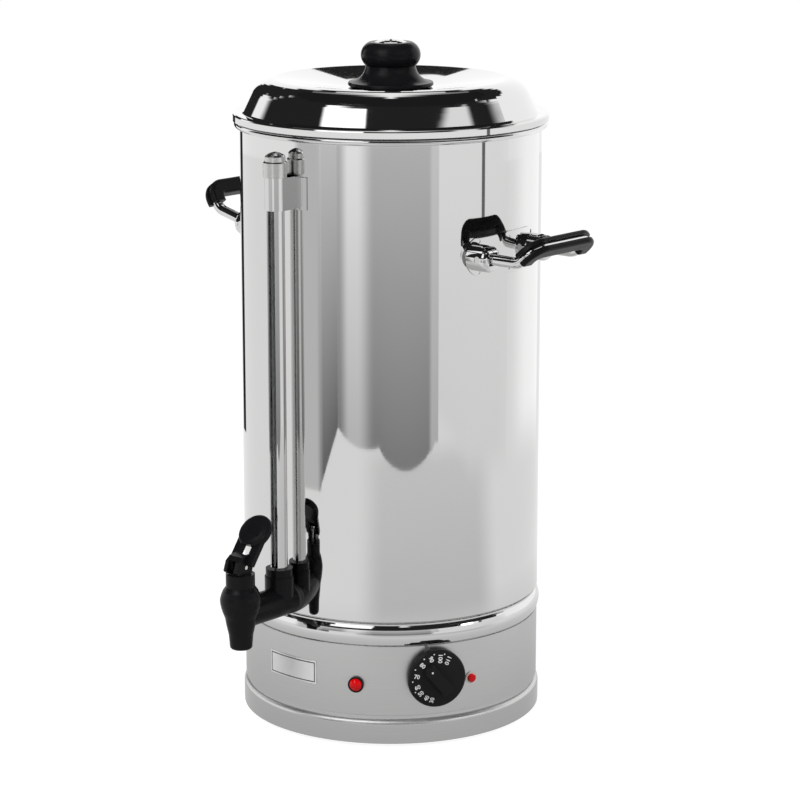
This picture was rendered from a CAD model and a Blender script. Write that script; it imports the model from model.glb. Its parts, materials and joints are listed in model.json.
"""A hot water urn, dressed for viewing: polished tank, satin base, black fittings."""
import json
import math

import bmesh
import bpy
from mathutils import Matrix, Vector


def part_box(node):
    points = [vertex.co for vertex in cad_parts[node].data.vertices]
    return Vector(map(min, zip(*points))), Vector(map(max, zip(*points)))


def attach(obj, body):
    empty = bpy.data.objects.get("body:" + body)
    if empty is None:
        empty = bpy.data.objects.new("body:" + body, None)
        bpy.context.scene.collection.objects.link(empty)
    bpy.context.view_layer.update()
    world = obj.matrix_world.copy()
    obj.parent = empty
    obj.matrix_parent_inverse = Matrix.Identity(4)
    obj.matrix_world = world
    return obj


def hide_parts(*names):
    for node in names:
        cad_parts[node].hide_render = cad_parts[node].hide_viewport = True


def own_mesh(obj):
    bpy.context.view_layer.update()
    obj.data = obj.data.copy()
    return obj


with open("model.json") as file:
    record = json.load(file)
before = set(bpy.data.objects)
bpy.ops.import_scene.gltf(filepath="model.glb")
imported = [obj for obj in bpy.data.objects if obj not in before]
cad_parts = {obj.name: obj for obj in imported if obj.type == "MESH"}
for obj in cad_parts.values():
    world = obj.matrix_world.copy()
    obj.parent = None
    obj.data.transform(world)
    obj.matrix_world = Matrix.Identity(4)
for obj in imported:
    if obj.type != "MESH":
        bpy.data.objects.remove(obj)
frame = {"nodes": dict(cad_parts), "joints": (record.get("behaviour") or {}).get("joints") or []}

nodes = frame["nodes"]
joints = {joint["name"]: joint for joint in frame["joints"]}
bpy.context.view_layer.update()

MM = 0.001

# ---- Places on the urn ----


def direction(azimuth, elevation=0):
    """A unit vector by its degrees to the right of the tap and above the floor."""
    az, el = math.radians(azimuth), math.radians(elevation)
    return Vector((math.sin(az) * math.cos(el), -math.cos(az) * math.cos(el), math.sin(el)))


def facing(angle, radius, height):
    """A frame on the urn's side: X to the right, Y up, Z outward. Radius and height in mm."""
    out = direction(angle)
    right = direction(angle + 90)
    place = (out * radius + Vector((0, 0, height))) * MM
    turn = Matrix((right, Vector((0, 0, 1)), out)).transposed()
    return Matrix.Translation(place) @ turn.to_4x4()


def clock(angle, radius):
    """A point on a face, by its angle clockwise from the top."""
    a = math.radians(angle)
    return Vector((radius * math.sin(a), radius * math.cos(a), 0))


def share_of(value, start, end):
    """How far a value is from start to end, held between 0 and 1."""
    return min(max((value - start) / (end - start), 0), 1)


def reach(node, along):
    """The least and the greatest distance of a node's points along a direction, in mm."""
    found = [vert.co.dot(along) / MM for vert in nodes[node].data.vertices]
    return min(found), max(found)


# ---- Finishes ----

# The sockets of a colour mix node, which has several of each name.
MIX_DARK, MIX_LIGHT, MIX_RESULT = 6, 7, 2
# The base's lip is polished up to this height, and the change is this wide, in metres.
LIP_TOP, LIP_EDGE = 0.0178, 0.002


def grey(value):
    return (value, value, value)


def new_material(name):
    """A material with nodes, and its node tree."""
    material = bpy.data.materials.new(name)
    material.use_nodes = True
    return material, material.node_tree


class Finish:
    """A material under construction, with short calls for its nodes and links."""

    def __init__(self, name, colour, roughness, metallic=0.0, **sockets):
        self.material, self.tree = new_material(name)
        self.shader = self.tree.nodes["Principled BSDF"]
        self.set("Base Color", (*colour, 1))
        self.set("Roughness", roughness)
        self.set("Metallic", metallic)
        for socket, value in sockets.items():
            self.set(socket.replace("_", " "), value)
        self.where = self.node("ShaderNodeTexCoord").outputs["Object"]

    def set(self, socket, value):
        self.shader.inputs[socket].default_value = value

    def node(self, kind, **values):
        made = self.tree.nodes.new(kind)
        for key, value in values.items():
            if key in made.inputs:
                made.inputs[key].default_value = value
            else:
                setattr(made, key, value)
        return made

    def link(self, start, end):
        self.tree.links.new(start, end)

    def noise(self, scale, stretch=(1, 1, 1), detail=3.0):
        mapping = self.node("ShaderNodeMapping", Scale=stretch)
        self.link(self.where, mapping.inputs["Vector"])
        made = self.node("ShaderNodeTexNoise", Scale=scale, Detail=detail)
        self.link(mapping.outputs["Vector"], made.inputs["Vector"])
        return made.outputs["Fac"]

    def spread(self, value, low, high):
        made = self.node("ShaderNodeMapRange")
        made.inputs["To Min"].default_value = low
        made.inputs["To Max"].default_value = high
        self.link(value, made.inputs["Value"])
        return made.outputs["Result"]

    def rough(self, value, low, high):
        self.link(self.spread(value, low, high), self.shader.inputs["Roughness"])

    def rough_over(self, height, rough, polished):
        """The given roughness above a height in metres, and a lower one below it."""
        split = self.node("ShaderNodeSeparateXYZ")
        self.link(self.where, split.inputs["Vector"])
        share = self.node("ShaderNodeMapRange")
        share.inputs["From Min"].default_value = height - LIP_EDGE / 2
        share.inputs["From Max"].default_value = height + LIP_EDGE / 2
        share.inputs["To Min"].default_value = polished
        self.link(split.outputs["Z"], share.inputs["Value"])
        self.link(rough, share.inputs["To Max"])
        self.link(share.outputs["Result"], self.shader.inputs["Roughness"])

    def tint(self, value, dark, light):
        made = self.node("ShaderNodeMix", data_type="RGBA")
        made.inputs[MIX_DARK].default_value = (*dark, 1)
        made.inputs[MIX_LIGHT].default_value = (*light, 1)
        self.link(value, made.inputs["Factor"])
        self.link(made.outputs[MIX_RESULT], self.shader.inputs["Base Color"])

    def bump(self, value, strength, distance):
        made = self.node("ShaderNodeBump", Strength=strength, Distance=distance)
        self.link(value, made.inputs["Height"])
        self.link(made.outputs["Normal"], self.shader.inputs["Normal"])


def polished_steel():
    """Mirror-bright sheet with faint rolling marks round the tank."""
    f = Finish("polished_steel", colour=(0.69, 0.69, 0.685), roughness=0.035, metallic=1.0)
    rolled = f.noise(scale=6, stretch=(1, 1, 60))
    f.rough(rolled, low=0.02, high=0.05)
    f.tint(f.noise(scale=14), dark=(0.67, 0.67, 0.665), light=(0.71, 0.71, 0.705))
    f.bump(rolled, strength=0.008, distance=0.0003)
    return f.material


def satin_steel():
    """Sheet brushed round the base, with a polished lip."""
    f = Finish("satin_steel", colour=(0.58, 0.58, 0.575), roughness=0.34, metallic=1.0,
               Anisotropic=0.5)
    brushed = f.noise(scale=30, stretch=(1, 1, 90), detail=5.0)
    f.rough_over(LIP_TOP, f.spread(brushed, low=0.3, high=0.4), polished=0.05)
    f.tint(brushed, dark=(0.55, 0.55, 0.545), light=(0.62, 0.62, 0.615))
    f.bump(brushed, strength=0.05, distance=0.0002)
    tangent = f.node("ShaderNodeTangent", direction_type="RADIAL", axis="Z")
    f.link(tangent.outputs["Tangent"], f.shader.inputs["Tangent"])
    return f.material


def machined_steel():
    """Bar and fastener steel with fine turning marks."""
    f = Finish("machined_steel", colour=(0.7, 0.7, 0.69), roughness=0.18, metallic=1.0)
    grain = f.noise(scale=900, detail=4.0)
    f.rough(grain, low=0.12, high=0.24)
    f.tint(grain, dark=(0.64, 0.64, 0.63), light=(0.74, 0.74, 0.73))
    return f.material


def nickel():
    """Bright plating on the gauge cap and the small ring."""
    f = Finish("nickel", colour=(0.6, 0.6, 0.59), roughness=0.2, metallic=1.0)
    grain = f.noise(scale=500, stretch=(1, 1, 8), detail=4.0)
    f.rough(grain, low=0.16, high=0.26)
    f.tint(f.noise(scale=40), dark=(0.56, 0.56, 0.55), light=(0.64, 0.64, 0.63))
    f.bump(grain, strength=0.02, distance=0.0001)
    return f.material


def brass():
    f = Finish("brass", colour=(0.72, 0.52, 0.22), roughness=0.25, metallic=1.0)
    grain = f.noise(scale=300)
    f.rough(grain, low=0.18, high=0.34)
    f.tint(grain, dark=(0.62, 0.43, 0.17), light=(0.76, 0.56, 0.26))
    return f.material


def glass():
    f = Finish("gauge_glass", colour=(0.9, 0.93, 0.92), roughness=0.02,
               Transmission_Weight=1.0, IOR=1.5)
    f.rough(f.noise(scale=40), low=0.01, high=0.05)
    return f.material


def plastic(name, dark, light, rough, grain=1400, depth=0.06, **sockets):
    """Moulded plastic with a fine spark-eroded grain."""
    low, high = rough
    f = Finish(name, colour=light, roughness=low, **sockets)
    f.rough(f.noise(scale=60), low, high)
    f.tint(f.noise(scale=35), dark, light)
    f.bump(f.noise(scale=grain, detail=2.0), strength=depth, distance=0.0001)
    return f.material


STEEL = polished_steel()
SATIN = satin_steel()
MACHINED = machined_steel()
NICKEL = nickel()
BRASS = brass()
GLASS = glass()
BLACK = plastic("black_plastic", dark=(0.005, 0.005, 0.006), light=(0.009, 0.009, 0.01),
                rough=(0.2, 0.32), Specular_IOR_Level=0.1)
DIAL_BLACK = plastic("dial_black", dark=grey(0.007), light=grey(0.012),
                     rough=(0.34, 0.46), Specular_IOR_Level=0.12)
GRIP_BLACK = plastic("grip_black", dark=grey(0.005), light=grey(0.009),
                     rough=(0.26, 0.4), grain=700, depth=0.12, Specular_IOR_Level=0.09)
RED = plastic("red_plastic", dark=(0.62, 0.0, 0.002), light=(0.78, 0.001, 0.005),
              rough=(0.08, 0.16), depth=0.01, Specular_IOR_Level=0.2)
PALE = plastic("pale_plastic", dark=(0.68, 0.65, 0.58), light=(0.74, 0.71, 0.64),
               rough=(0.35, 0.5))
CLEAR_RUBBER = plastic("silicone", dark=(0.5, 0.48, 0.45), light=(0.58, 0.56, 0.52),
                       rough=(0.4, 0.55))
RUBBER = plastic("rubber", dark=grey(0.02), light=grey(0.032), rough=(0.6, 0.75), depth=0.2)
WIRE = plastic("wire_cover", dark=(0.5, 0.06, 0.04), light=(0.56, 0.08, 0.05),
               rough=(0.35, 0.45))
LABEL = plastic("label_film", dark=grey(0.92), light=grey(0.96), rough=(0.3, 0.4), depth=0.02)
PRINT_WHITE = plastic("white_print", dark=(0.78, 0.78, 0.77), light=(0.84, 0.84, 0.83),
                      rough=(0.4, 0.5), depth=0.02)
PRINT_BLACK = plastic("black_print", dark=grey(0.01), light=grey(0.018),
                      rough=(0.4, 0.5), depth=0.02)
PRINT_GREY = plastic("grey_print", dark=grey(0.08), light=grey(0.11),
                     rough=(0.4, 0.5), depth=0.02)

# The finish of each node of the CAD model.
DRESS = {
    STEEL: ["waist_bead", "tank_wall", "lid", "right_handle_plate", "left_handle_plate",
            "right_handle_rod", "left_handle_rod", "gauge_guard", "gauge_bracket", "knob_cap"],
    SATIN: ["base_skirt", "bottom_plate", "tank_floor"],
    MACHINED: ["tie_rods", "tie_nuts", "heating_element", "knob_screw", "handle_pins",
               "tap_stem", "tap_spring", "tap_lever_pin", "thermostat_shaft",
               "thermostat_screws", "inlet_screws", "bulb_clips"],
    BLACK: ["lid_knob", "tap_body", "tap_bonnet", "tap_lever", "lamp_bezel", "lamp_nut",
            "inlet_housing"],
    DIAL_BLACK: ["dial"],
    GRIP_BLACK: ["right_handle_grip", "left_handle_grip"],
    RED: ["lamp_lens", "reset_button"],
    NICKEL: ["gauge_cap", "cutout_nut"],
    PALE: ["thermostat_body", "cutout_body", "terminal_block", "lamp_body"],
    CLEAR_RUBBER: ["element_seals", "gauge_seals", "tap_seat_cup"],
    RUBBER: ["feet", "tap_gaskets"],
    BRASS: ["element_fittings", "element_nuts", "tap_locknut", "inlet_pins",
            "thermostat_bulb"],
    WIRE: ["wiring"],
    LABEL: ["label_plate"],
    PRINT_GREY: ["dial_pointer"],
    GLASS: ["gauge_glass"],
}
for finish, dressed in DRESS.items():
    for name in dressed:
        for part_slot in nodes[name].material_slots:
            part_slot.material = finish
undressed = set(nodes) - {name for dressed in DRESS.values() for name in dressed}
assert not undressed, undressed

# ---- Making pieces ----

# Points closer than this are one point, in the units of the mesh that is cleaned.
MERGE = 0.001


def new_object(name, made, finish, smooth=False):
    """An object in the scene from a filled bmesh, which is freed."""
    mesh = bpy.data.meshes.new(name)
    made.to_mesh(mesh)
    made.free()
    mesh.materials.append(finish)
    for face in mesh.polygons:
        face.use_smooth = smooth
    piece = bpy.data.objects.new(name, mesh)
    bpy.context.scene.collection.objects.link(piece)
    return piece


def add_piece(name, made, finish, body, smooth=False):
    """Turns a filled bmesh into a piece that rides on a body."""
    piece = new_object(name, made, finish, smooth)
    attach(piece, body)
    return piece


def evaluated(name, data, change=None):
    """What Blender makes of a curve or mesh, after a change to its object, as a bmesh."""
    holder = bpy.data.objects.new(name, data)
    bpy.context.scene.collection.objects.link(holder)
    if change:
        change(holder)
    bpy.context.view_layer.update()
    flat = bpy.data.meshes.new_from_object(holder.evaluated_get(
        bpy.context.evaluated_depsgraph_get()))
    made = bmesh.new()
    made.from_mesh(flat)
    bpy.data.objects.remove(holder)
    bpy.data.meshes.remove(flat)
    return made


def merge_into(target, source, matrix=Matrix.Identity(4)):
    """Moves one bmesh by a matrix into another, and frees it."""
    source.transform(matrix)
    mesh = bpy.data.meshes.new("merge")
    source.to_mesh(mesh)
    target.from_mesh(mesh)
    bpy.data.meshes.remove(mesh)
    source.free()


def raised(made, depth):
    """Gives a flat, upward-facing print its small thickness."""
    for face in made.faces:
        if face.normal.z < 0:
            face.normal_flip()
    done = bmesh.ops.extrude_face_region(made, geom=made.faces[:])
    lifted = [v for v in done["geom"] if isinstance(v, bmesh.types.BMVert)]
    bmesh.ops.translate(made, verts=lifted, vec=(0, 0, depth))
    bmesh.ops.recalc_face_normals(made, faces=made.faces)


# ---- Node trees ----


def new_tree(name, inputs, output):
    """A node tree with named inputs, and its first and last node."""
    tree = bpy.data.node_groups.new(name, "GeometryNodeTree")
    for label, kind in inputs:
        tree.interface.new_socket(label, in_out="INPUT", socket_type="NodeSocket" + kind)
    tree.interface.new_socket(output, in_out="OUTPUT", socket_type="NodeSocketGeometry")
    return tree, tree.nodes.new("NodeGroupInput"), tree.nodes.new("NodeGroupOutput")


def link_up(tree, given, shape, result, links):
    """Makes the links, then realizes the shape and dresses it in the input Finish."""
    real = tree.nodes.new("GeometryNodeRealizeInstances")
    dressed = tree.nodes.new("GeometryNodeSetMaterial")
    for start, end in (*links,
                       (shape, real.inputs["Geometry"]),
                       (real.outputs["Geometry"], dressed.inputs["Geometry"]),
                       (given.outputs["Finish"], dressed.inputs["Material"]),
                       (dressed.outputs["Geometry"], result.inputs[0])):
        tree.links.new(start, end)
    return tree


def discs_tree():
    """Puts a filled disc on each point, as one mesh."""
    tree, given, result = new_tree("discs_on_points", (
        ("Points", "Geometry"), ("Radius", "Float"), ("Corners", "Int"),
        ("Finish", "Material")), "Discs")
    circle = tree.nodes.new("GeometryNodeMeshCircle")
    circle.fill_type = "NGON"
    spread = tree.nodes.new("GeometryNodeInstanceOnPoints")
    return link_up(tree, given, spread.outputs["Instances"], result, (
        (given.outputs["Points"], spread.inputs["Points"]),
        (given.outputs["Radius"], circle.inputs["Radius"]),
        (given.outputs["Corners"], circle.inputs["Vertices"]),
        (circle.outputs["Mesh"], spread.inputs["Instance"])))


def spring_tree(steps, sides):
    """A round wire swept along a helix, with closed ends."""
    tree, given, result = new_tree("coiled_wire", (
        ("Radius", "Float"), ("Height", "Float"), ("Turns", "Float"), ("Wire", "Float"),
        ("Finish", "Material")), "Coil")
    helix = tree.nodes.new("GeometryNodeCurveSpiral")
    helix.inputs["Resolution"].default_value = steps
    wire = tree.nodes.new("GeometryNodeCurvePrimitiveCircle")
    wire.inputs["Resolution"].default_value = sides
    sweep = tree.nodes.new("GeometryNodeCurveToMesh")
    sweep.inputs["Fill Caps"].default_value = True
    return link_up(tree, given, sweep.outputs["Mesh"], result, (
        (given.outputs["Radius"], helix.inputs["Start Radius"]),
        (given.outputs["Radius"], helix.inputs["End Radius"]),
        (given.outputs["Height"], helix.inputs["Height"]),
        (given.outputs["Turns"], helix.inputs["Rotations"]),
        (given.outputs["Wire"], wire.inputs["Radius"]),
        (helix.outputs["Curve"], sweep.inputs["Curve"]),
        (wire.outputs["Curve"], sweep.inputs["Profile Curve"])))


def evaluated_by(tree, wanted, points=()):
    """What a node tree makes from its named inputs, as a bmesh."""
    cloud = bpy.data.meshes.new("points")
    cloud.from_pydata([tuple(point) for point in points], [], [])

    def with_tree(holder):
        made_by = holder.modifiers.new("tree", "NODES")
        made_by.node_group = tree
        for item in tree.interface.items_tree:
            if item.name in wanted:
                made_by[item.identifier] = wanted[item.name]

    made = evaluated("points", cloud, with_tree)
    bpy.data.meshes.remove(cloud)
    bpy.data.node_groups.remove(tree)
    return made


# ---- The dial's print ----

# All in mm. A piece of print floats a hair off the face that it is on.
PRINT_DEPTH, PRINT_GAP = 0.08, 0.01
# Each number on the dial and its angle clockwise from the top.
DIAL_NUMERALS = {"110": 28.6, "100": 6.0, "90": -18.8, "80": -46.6, "70": -78.9, "60": -108.0,
                 "50": -127.6, "40": -148.0, "30": -164.0}
NUMERAL_END, DIGIT_LENGTH, NUMERAL_HEIGHT, NUMERAL_WEIGHT = 18.1, 2.0, 3.1, 0.1
# The font's size for a digit of height 1, and the steps of each curve in it.
SIZE_PER_HEIGHT, LETTER_STEPS = 1.4, 4
# The small dots between the numbers, and the dot on the grip bar.
DIAL_DOTS = (15.5, -8.4, -33.0, -63.5, -91.5, -117.0)
DOT_RING, DOT_R, DOT_CORNERS = 18.9, 0.5, 14
BAR_DOT_TURN, BAR_DOT_RING, BAR_DOT_R = -40, 9.4, 0.75
# The dial's face is a shallow cone: its height over the dial's back at two radii.
CONE_IN_R, CONE_IN_H, CONE_OUT_R, CONE_OUT_H = 13.33, 5.84, 20.18, 4.92


def face_height(radius):
    return CONE_IN_H + share_of(radius, CONE_IN_R, CONE_OUT_R) * (CONE_OUT_H - CONE_IN_H)


def thick_text(words):
    """The outline of a short text as a flat bmesh, centred on the origin."""
    curve = bpy.data.curves.new("text", "FONT")
    curve.body = words
    curve.size = NUMERAL_HEIGHT * SIZE_PER_HEIGHT
    curve.align_x = "CENTER"
    curve.align_y = "CENTER"
    curve.resolution_u = LETTER_STEPS
    curve.offset = NUMERAL_WEIGHT
    made = evaluated("text", curve)
    bpy.data.curves.remove(curve)
    bmesh.ops.remove_doubles(made, verts=made.verts, dist=MERGE)
    return made


def add_numeral(whole, words, angle):
    """Adds one number, which reads inwards from the rim."""
    numeral = thick_text(words)
    across = [vert.co.x for vert in numeral.verts]
    middle, drawn = (max(across) + min(across)) / 2, max(across) - min(across)
    length = DIGIT_LENGTH * len(words)
    fitted = Matrix.Scale(length / drawn, 4, (1, 0, 0))
    turn = Matrix.Rotation(-math.radians(angle) - math.pi / 2, 4, "Z")
    place = Matrix.Translation(clock(angle, NUMERAL_END - length / 2)) @ turn
    merge_into(whole, numeral, place @ fitted @ Matrix.Translation((-middle, 0, 0)))


def dial_print():
    """The numbers and dots, which turn with the dial."""
    pivot = joints["dial_turn"]
    out = Vector(pivot["axis"])
    dial_at = math.degrees(math.atan2(out.x, -out.y))
    dial_back, dial_top = reach("dial", out)

    whole = bmesh.new()
    for words, angle in DIAL_NUMERALS.items():
        add_numeral(whole, words, angle)
    dots = {"Radius": DOT_R, "Corners": DOT_CORNERS, "Finish": PRINT_WHITE}
    merge_into(whole, evaluated_by(discs_tree(), dots,
                                   [clock(angle, DOT_RING) for angle in DIAL_DOTS]))
    raised(whole, PRINT_DEPTH)
    for vert in whole.verts:
        vert.co.z += face_height(vert.co.xy.length) + PRINT_GAP

    bar_dot = bmesh.new()
    bmesh.ops.create_circle(bar_dot, cap_ends=True, segments=DOT_CORNERS, radius=BAR_DOT_R)
    raised(bar_dot, PRINT_DEPTH)
    on_bar = clock(BAR_DOT_TURN, BAR_DOT_RING)
    on_bar.z = dial_top - dial_back + PRINT_GAP
    merge_into(whole, bar_dot, Matrix.Translation(on_bar))

    height = pivot["pos_m"][2] / MM
    whole.transform(facing(dial_at, dial_back, height) @ Matrix.Scale(MM, 4))
    add_piece("dial_print", whole, PRINT_WHITE, "dial")


# ---- The label's print ----

# All in mm. The label's width is measured round the tank.
TANK_R = 110.0
BORDER_LINE, BORDER_INSET, BORDER_DEPTH, BORDER_STEPS = 0.7, 1.0, 0.06, 24


def label_print():
    """The thin border of the label, bent round the base."""
    low_end, high_end = (Vector(corner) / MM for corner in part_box("label_plate"))
    face_r = max(vert.co.xy.length for vert in nodes["label_plate"].data.vertices) / MM
    half_w = TANK_R * math.asin(high_end.x / face_r)
    half_h = (high_end.z - low_end.z) / 2
    middle = (high_end.z + low_end.z) / 2
    whole = bmesh.new()

    def strip(x0, x1, y0, y1):
        count = max(1, round(BORDER_STEPS * (x1 - x0) / (2 * half_w)))
        for i in range(count):
            a = x0 + (x1 - x0) * i / count
            b = x0 + (x1 - x0) * (i + 1) / count
            corners = ((a, y0), (b, y0), (b, y1), (a, y1))
            whole.faces.new([whole.verts.new((x, y, 0)) for x, y in corners])

    right, high = half_w - BORDER_INSET, half_h - BORDER_INSET
    inner_x, inner_y = right - BORDER_LINE, high - BORDER_LINE
    strip(-right, right, inner_y, high)
    strip(-right, right, -high, -inner_y)
    strip(-right, -inner_x, -inner_y, inner_y)
    strip(inner_x, right, -inner_y, inner_y)
    bmesh.ops.remove_doubles(whole, verts=whole.verts, dist=MERGE)
    raised(whole, BORDER_DEPTH)
    for vert in whole.verts:
        turn = math.degrees(vert.co.x / TANK_R)
        out = direction(turn) * (face_r + PRINT_GAP + vert.co.z)
        vert.co = (out + Vector((0, 0, middle + vert.co.y))) * MM
    add_piece("label_print", whole, PRINT_BLACK, "urn")


# ---- The tap's spring ----

SPRING_WIRE, SPRING_TURNS, STEPS_PER_TURN, WIRE_SIDES = 0.45 * MM, 6.0, 36, 12


def valve_spring():
    """The tap's return spring, which the rising stem squashes."""
    low, high = (Vector(corner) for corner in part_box("tap_spring"))
    wanted = {"Radius": (high.x - low.x) / 2 - SPRING_WIRE, "Turns": SPRING_TURNS,
              "Height": high.z - low.z - 2 * SPRING_WIRE, "Wire": SPRING_WIRE,
              "Finish": MACHINED}
    coil = evaluated_by(spring_tree(STEPS_PER_TURN, WIRE_SIDES), wanted)
    bmesh.ops.remove_doubles(coil, verts=coil.verts, dist=MERGE * MM)
    middle = (low + high) / 2
    coil.transform(Matrix.Translation((middle.x, middle.y, low.z + SPRING_WIRE)))
    bmesh.ops.recalc_face_normals(coil, faces=coil.faces)
    spring = add_piece("valve_spring", coil, MACHINED, "urn", smooth=True)
    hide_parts("tap_spring")
    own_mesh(spring)


dial_print()
label_print()
valve_spring()

# ---- Camera ----

# Sizes from here on are in metres, and the lens and its sensor in mm.
CAMERA_AZIMUTH, CAMERA_ELEVATION, CAMERA_DISTANCE = 41.09, 13.1, 2.0716
LENS, SENSOR, CLIP_END = 125.4, 36, 60
# The point that the camera looks at: its height, and how far it is right of the axis.
AIM_HEIGHT, AIM_RIGHT = 0.2325, 0.00673


def add_camera():
    back = direction(CAMERA_AZIMUTH, CAMERA_ELEVATION)
    right = direction(CAMERA_AZIMUTH + 90)
    up = back.cross(right)
    lens = bpy.data.cameras.new("camera")
    lens.lens = LENS
    lens.sensor_width = SENSOR
    lens.clip_end = CLIP_END
    camera = bpy.data.objects.new("camera", lens)
    place = Vector((0, 0, AIM_HEIGHT)) + right * AIM_RIGHT + back * CAMERA_DISTANCE
    turn = Matrix((right, up, back)).transposed()
    camera.matrix_world = Matrix.Translation(place) @ turn.to_4x4()
    bpy.context.scene.collection.objects.link(camera)
    bpy.context.scene.camera = camera


# ---- World, floor and lamps ----

WHITE = (1, 1, 1, 1)
# The world's brightness as light on the urn, and as it is seen and mirrored.
WORLD_FILL, WORLD_SEEN = 0.55, 1.15
FLOOR_GREY, FLOOR_ROUGH, FLOOR_GLOW, FLOOR_R, FLOOR_CORNERS = 0.36, 0.9, 0.8, 8, 96
LAMP_AIM = 0.25


def seen_directly(tree):
    """1 for rays from the camera, from a mirror or through glass, 0 for the rest."""
    path = tree.nodes.new("ShaderNodeLightPath")
    total = path.outputs["Is Camera Ray"]
    for kind in ("Is Glossy Ray", "Is Transmission Ray"):
        total = joined(tree, "MAXIMUM", total, path.outputs[kind])
    return total


def joined(tree, operation, first, second):
    """Two values put together by a maths node."""
    made = tree.nodes.new("ShaderNodeMath")
    made.operation = operation
    tree.links.new(first, made.inputs[0])
    tree.links.new(second, made.inputs[1])
    return made.outputs[0]


def ramp(tree, value, start, end, low, high, kind="LINEAR"):
    """A value that goes from low to high as another goes from start to end."""
    made = tree.nodes.new("ShaderNodeMapRange")
    made.interpolation_type = kind
    for key, number in (("From Min", start), ("From Max", end),
                        ("To Min", low), ("To Max", high)):
        made.inputs[key].default_value = number
    tree.links.new(value, made.inputs["Value"])
    return made.outputs["Result"]


def add_world():
    world = bpy.data.worlds.new("studio")
    world.use_nodes = True
    tree = world.node_tree
    background = tree.nodes["Background"]
    background.inputs["Color"].default_value = WHITE
    strength = ramp(tree, seen_directly(tree), 0, 1, WORLD_FILL, WORLD_SEEN)
    tree.links.new(strength, background.inputs["Strength"])
    bpy.context.scene.world = world


def stage_piece(name, made, material):
    piece = new_object(name, made, material)
    return piece


def add_floor():
    """White for the camera and in mirrors, with a light shadow under the urn."""
    material, tree = new_material("floor_white")
    shader = tree.nodes["Principled BSDF"]
    shader.inputs["Base Color"].default_value = (*grey(FLOOR_GREY), 1)
    shader.inputs["Roughness"].default_value = FLOOR_ROUGH
    shader.inputs["Specular IOR Level"].default_value = 0
    shader.inputs["Emission Color"].default_value = WHITE
    glow = ramp(tree, seen_directly(tree), 0, 1, 0, FLOOR_GLOW)
    tree.links.new(glow, shader.inputs["Emission Strength"])
    made = bmesh.new()
    bmesh.ops.create_circle(made, cap_ends=True, segments=FLOOR_CORNERS, radius=FLOOR_R)
    stage_piece("floor", made, material)


def add_lamp(name, azimuth, elevation, distance, size, power):
    """A round lamp that looks at the urn. Its azimuth is counted from the camera."""
    back = direction(CAMERA_AZIMUTH + azimuth, elevation)
    light = bpy.data.lights.new(name, "AREA")
    light.shape = "DISK"
    light.size = size
    light.energy = power
    lamp = bpy.data.objects.new(name, light)
    lamp.matrix_world = (Matrix.Translation(Vector((0, 0, LAMP_AIM)) + back * distance)
                         @ back.to_track_quat("Z", "Y").to_matrix().to_4x4())
    bpy.context.scene.collection.objects.link(lamp)


# ---- Cards ----

# The steps of a card's grid.
CARD_ACROSS, CARD_UP = 64, 12
# How far a pair of opposite edges fades, as shares of the card.
SOFT, SHARP = (0.1, 0.1), (0, 0)


def card_material(name, shade, far_shade, soft_sides, soft_ends):
    """A glow that fades along the card and turns clear towards its edges."""
    material, tree = new_material(name)
    tree.nodes.remove(tree.nodes["Principled BSDF"])
    split = tree.nodes.new("ShaderNodeSeparateXYZ")
    tree.links.new(tree.nodes.new("ShaderNodeUVMap").outputs[0], split.inputs[0])
    cover = None
    for value, soft in ((split.outputs["X"], soft_sides), (split.outputs["Y"], soft_ends)):
        for start, end in ((0, soft[0]), (1, 1 - soft[1])):
            if start == end:
                continue
            edge = ramp(tree, value, start, end, 0, 1, "SMOOTHSTEP")
            cover = edge if cover is None else joined(tree, "MULTIPLY", cover, edge)
    glow = tree.nodes.new("ShaderNodeEmission")
    tree.links.new(ramp(tree, split.outputs["Y"], 0, 1, shade, far_shade),
                   glow.inputs["Strength"])
    surface = glow.outputs[0]
    if cover is not None:
        mixed = tree.nodes.new("ShaderNodeMixShader")
        clear = tree.nodes.new("ShaderNodeBsdfTransparent")
        tree.links.new(cover, mixed.inputs[0])
        tree.links.new(clear.outputs[0], mixed.inputs[1])
        tree.links.new(surface, mixed.inputs[2])
        surface = mixed.outputs[0]
    tree.links.new(surface, tree.nodes["Material Output"].inputs["Surface"])
    return material


def add_card(name, start, end, near, far, shade, far_shade=None,
             soft_sides=SOFT, soft_ends=SHARP, foot=None):
    """A curved card round the urn that only mirrors see.

    start and end are degrees from the camera, positive to its right. near and far are its
    first and last edge, each a distance from the axis and a height. foot gives the height of
    the first edge by the degrees from the camera.
    """
    made = bmesh.new()
    grid = []
    for i in range(CARD_ACROSS + 1):
        turned = start + (end - start) * i / CARD_ACROSS
        out = direction(CAMERA_AZIMUTH + turned)
        first = foot(turned) if foot else near[1]
        column = []
        for j in range(CARD_UP + 1):
            distance = near[0] + (far[0] - near[0]) * j / CARD_UP
            height = first + (far[1] - first) * j / CARD_UP
            column.append(made.verts.new(out * distance + Vector((0, 0, height))))
        grid.append(column)
    layer = made.loops.layers.uv.new("card")
    for i in range(CARD_ACROSS):
        for j in range(CARD_UP):
            corners = ((i, j), (i + 1, j), (i + 1, j + 1), (i, j + 1))
            face = made.faces.new([grid[a][b] for a, b in corners])
            for loop, (a, b) in zip(face.loops, corners):
                loop[layer].uv = (a / CARD_ACROSS, b / CARD_UP)
    if far_shade is None:
        far_shade = shade
    card = stage_piece(name, made, card_material(name, shade, far_shade, soft_sides, soft_ends))
    card.visible_camera = False
    card.visible_diffuse = False
    card.visible_shadow = False


def upright(distance, low, high):
    """The two edges of a card that stands at a distance from the axis."""
    return (distance, low), (distance, high)


def flat(height, near, far):
    """The two edges of a card that lies over the floor."""
    return (near, height), (far, height)


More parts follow.
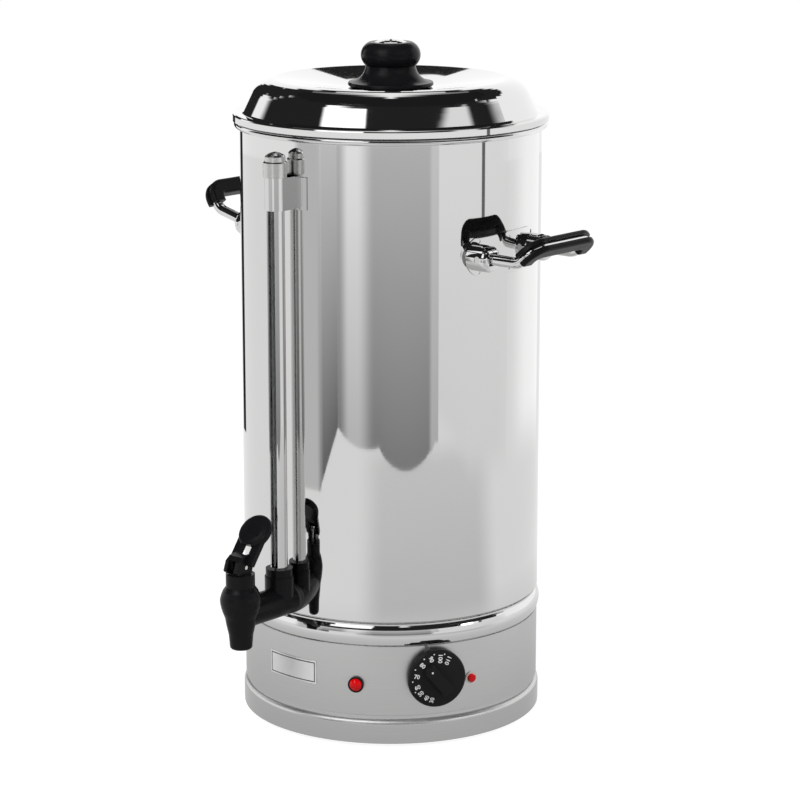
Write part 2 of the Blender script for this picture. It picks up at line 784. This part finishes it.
# Layers of cards, by their distance from the axis: a nearer one covers a farther one.
FRONT, SECOND, WALL, ROOM, REAR, CEILING, SIDE, FAR = 0.79, 0.795, 0.8, 0.82, 0.83, 0.84, 0.9, 3
SCREEN_TOP, CEILING_FOOT, ROOM_TOP, CEILING_PEAK = 0.343, 1.3, 1.31, 1.5
FLOOR_GAP, SHADE_GAP = 0.0012, 0.002
DARK, DARKEST = 0.02, 0.015

# The curtain hangs in two scallops: the degrees of their ends, the heights there and the sags.
CURTAIN_LEFT, CURTAIN_FOLD, CURTAIN_RIGHT = -38, -8, 31.5
LEFT_FOOT, FOLD_FOOT, RIGHT_FOOT = 0.068, 0.051, 0.056
SCALLOPS = ((CURTAIN_LEFT, CURTAIN_FOLD, LEFT_FOOT, FOLD_FOOT, 0.009),
            (CURTAIN_FOLD, CURTAIN_RIGHT, FOLD_FOOT, RIGHT_FOOT, 0.0265))
SCALLOP_ROUND, CURTAIN_SLOPE = 0.7, 15
SCREEN_FOOT, SCREEN_FALL = 0.07, 0.0026
WINDOW_LEFT, WINDOW_FULL, WINDOW_LOW, WINDOW_RISE = 6, 38, 0.89, 0.16
REAR_FOOT, REAR_DROP, REAR_TURN, REAR_END = 1.0, 0.25, 200, 225


def curtain_foot(degrees):
    """Height of the curtain's scalloped foot; its left end slopes to the floor."""
    if degrees < CURTAIN_LEFT:
        return LEFT_FOOT * share_of(degrees, CURTAIN_LEFT - CURTAIN_SLOPE, CURTAIN_LEFT)
    for start, end, first, last, sag in SCALLOPS:
        if degrees <= end:
            share = share_of(degrees, start, end)
            hang = sag * math.sin(math.pi * share) ** SCALLOP_ROUND
            return first + (last - first) * share - hang
    return RIGHT_FOOT


def screen_foot(degrees):
    """The right screen's foot falls to the floor away from the curtain."""
    return max(SCREEN_FOOT - SCREEN_FALL * (degrees - CURTAIN_RIGHT), 0.0)


def rear_foot(degrees):
    """The dark rear wall reaches lower on the left."""
    return REAR_FOOT - REAR_DROP * share_of(degrees, REAR_TURN, REAR_END)


def window_top(degrees):
    """The right window's upper edge rises from its left corner."""
    return WINDOW_LOW + WINDOW_RISE * share_of(degrees, WINDOW_LEFT, WINDOW_FULL)


def add_screens():
    """The curtain and screens that the tank's wall mirrors."""
    wall, second, front = (upright(place, 0, SCREEN_TOP) for place in (WALL, SECOND, FRONT))
    add_card("left_haze", -74, -51, *wall, 0.62, soft_sides=(0.3, 0))
    add_card("left_curtain", -55, CURTAIN_LEFT, *second, 0.16, 0.7, soft_sides=(0.35, 0),
             foot=curtain_foot)
    add_card("grey_curtain", CURTAIN_LEFT, CURTAIN_RIGHT, *wall, 0.26, 0.6, soft_sides=SHARP,
             foot=curtain_foot)
    add_card("light_strip", -37, -11, *second, 0.62, 1.05, soft_sides=(0.3, 0.5),
             foot=curtain_foot)
    add_card("seam_band", 26.4, 34, *front, 0.56, 0.75, soft_sides=(0.45, 0),
             foot=curtain_foot)
    add_card("right_screen", CURTAIN_RIGHT, 96, *wall, 0.85, 0.95, soft_sides=(0, 0.2),
             soft_ends=(0.15, 0), foot=screen_foot)
    add_card("edge_stand", -158, -146, *upright(SIDE, 0, 0.64), DARK)
    add_card("right_glow", 92, 150, *upright(0.78, 0, SCREEN_TOP), 1.2, soft_sides=(0.5, 0.1),
             soft_ends=(0.25, 0))
    add_card("lamp_stand", 67.5, 71, *upright(FRONT, 0.25, 0.36), 0.15, soft_sides=(0.2, 0.2),
             soft_ends=(0.2, 0))


def add_room():
    """The dark room over the screens, its ceiling, and the lit windows of the soft boxes."""
    add_card("dark_room", -122, 104, *upright(ROOM, 0.4, ROOM_TOP), DARK,
             soft_sides=(0.04, 0.08))
    add_card("dark_rear", 96, 242, *upright(REAR, 0.96, ROOM_TOP), DARK, soft_sides=SHARP,
             soft_ends=(0.12, 0), foot=rear_foot)
    add_card("dark_ceiling", -180, 180, (CEILING, CEILING_FOOT), (0, CEILING_PEAK), DARKEST)
    add_card("rear_gap", 179.2, 180.8, *upright(FAR, 1.4, 2.6), DARK, soft_sides=(0.05, 0.05))
    add_card("edge_upper", -160, -132, *upright(SIDE, 0.46, 1.0), DARK, soft_sides=(0.05, 0.1))
    add_card("left_window", -61, -20, *upright(FRONT, 0.94, 1.18), 1.9, 1.6,
             soft_sides=(0.12, 0.06), soft_ends=(0.15, 0.3))
    add_card("low_window", -49, -14, *upright(FRONT, 0.5, 0.9), 1.5, soft_sides=(0.05, 0.05),
             soft_ends=(0.1, 0.1))
    add_card("right_window", WINDOW_LEFT, 72, *upright(FRONT, WINDOW_LOW, 0.87), 0.95,
             soft_sides=(0.05, 0.1), soft_ends=(0.2, 0.1), foot=window_top)


def add_floor_light():
    """The lit floor, less bright near the urn and in front."""
    add_card("floor_light", -180, 180, *flat(FLOOR_GAP, 0.45, FAR), 0.92, soft_sides=SHARP)
    add_card("floor_near", -180, 180, *flat(FLOOR_GAP, 0.112, 0.46), 0.6, 0.92,
             soft_sides=SHARP)
    add_card("floor_shade", -26, 84, *flat(SHADE_GAP, 0.3, 1.05), 0.62, 0.78,
             soft_sides=(0.2, 0.2), soft_ends=(0.2, 0.2))


add_camera()
add_world()
add_floor()
add_screens()
add_room()
add_floor_light()
add_lamp("key_lamp", azimuth=-40, elevation=45, distance=2.2, size=1.0, power=24)
add_lamp("fill_lamp", azimuth=60, elevation=30, distance=2.4, size=1.2, power=12)

bpy.context.scene.view_settings.view_transform = "Standard"
